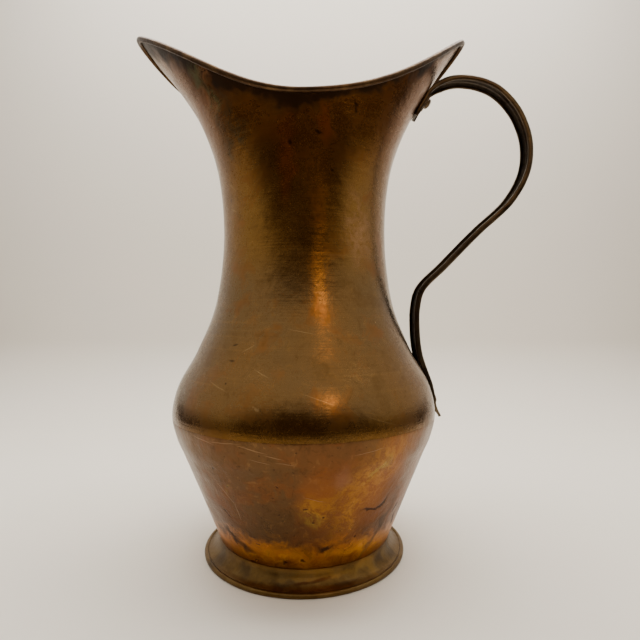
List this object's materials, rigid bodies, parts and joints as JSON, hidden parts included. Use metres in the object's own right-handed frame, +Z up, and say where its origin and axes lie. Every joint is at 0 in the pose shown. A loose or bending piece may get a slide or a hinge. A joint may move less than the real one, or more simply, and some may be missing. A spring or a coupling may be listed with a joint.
{
  "type": "metal water jug",
  "caption": "Tall flared metal water jug with a saddle-cut mouth, round shoulder, tapering lower body, flared foot and a riveted channel handle.",
  "frame": {"origin": "middle of the jug's bounding box, at the bottom of the foot", "axes": "+Z up, spout towards -X, handle on +X"},
  "size_m": [0.2703, 0.1756, 0.3447],
  "materials": {
    "upper_body": "spun sheet, aged golden-brown patina, worn satin",
    "lower_body": "copper sheet, pinkish-brown with orange and gold heat colours",
    "base_disc": "dull tarnished copper sheet",
    "foot_ring": "olive-brown aged brass sheet",
    "handle": "blackened brass, worn brighter on its edges",
    "rivets": "hammered, blackened",
    "burrs": "dull tarnished",
    "braze": "rough grey-yellow braze and solder",
    "edge_wire": "plain iron wire"
  },
  "bodies": {
    "root": {"upper_body": "upper_body", "lower_body": "lower_body", "shoulder_seam_braze": "braze", "base_disc": "base_disc", "base_seam_solder": "braze", "foot_ring": "foot_ring", "foot_seam_solder": "braze", "rim_wire": "edge_wire", "foot_wire": "edge_wire", "handle": "handle", "upper_rivet_rove": "rivets", "upper_rivet": "rivets", "upper_rivet_burr": "burrs", "lower_rivet": "rivets", "lower_rivet_burr": "burrs"}
  },
  "joints": []
}
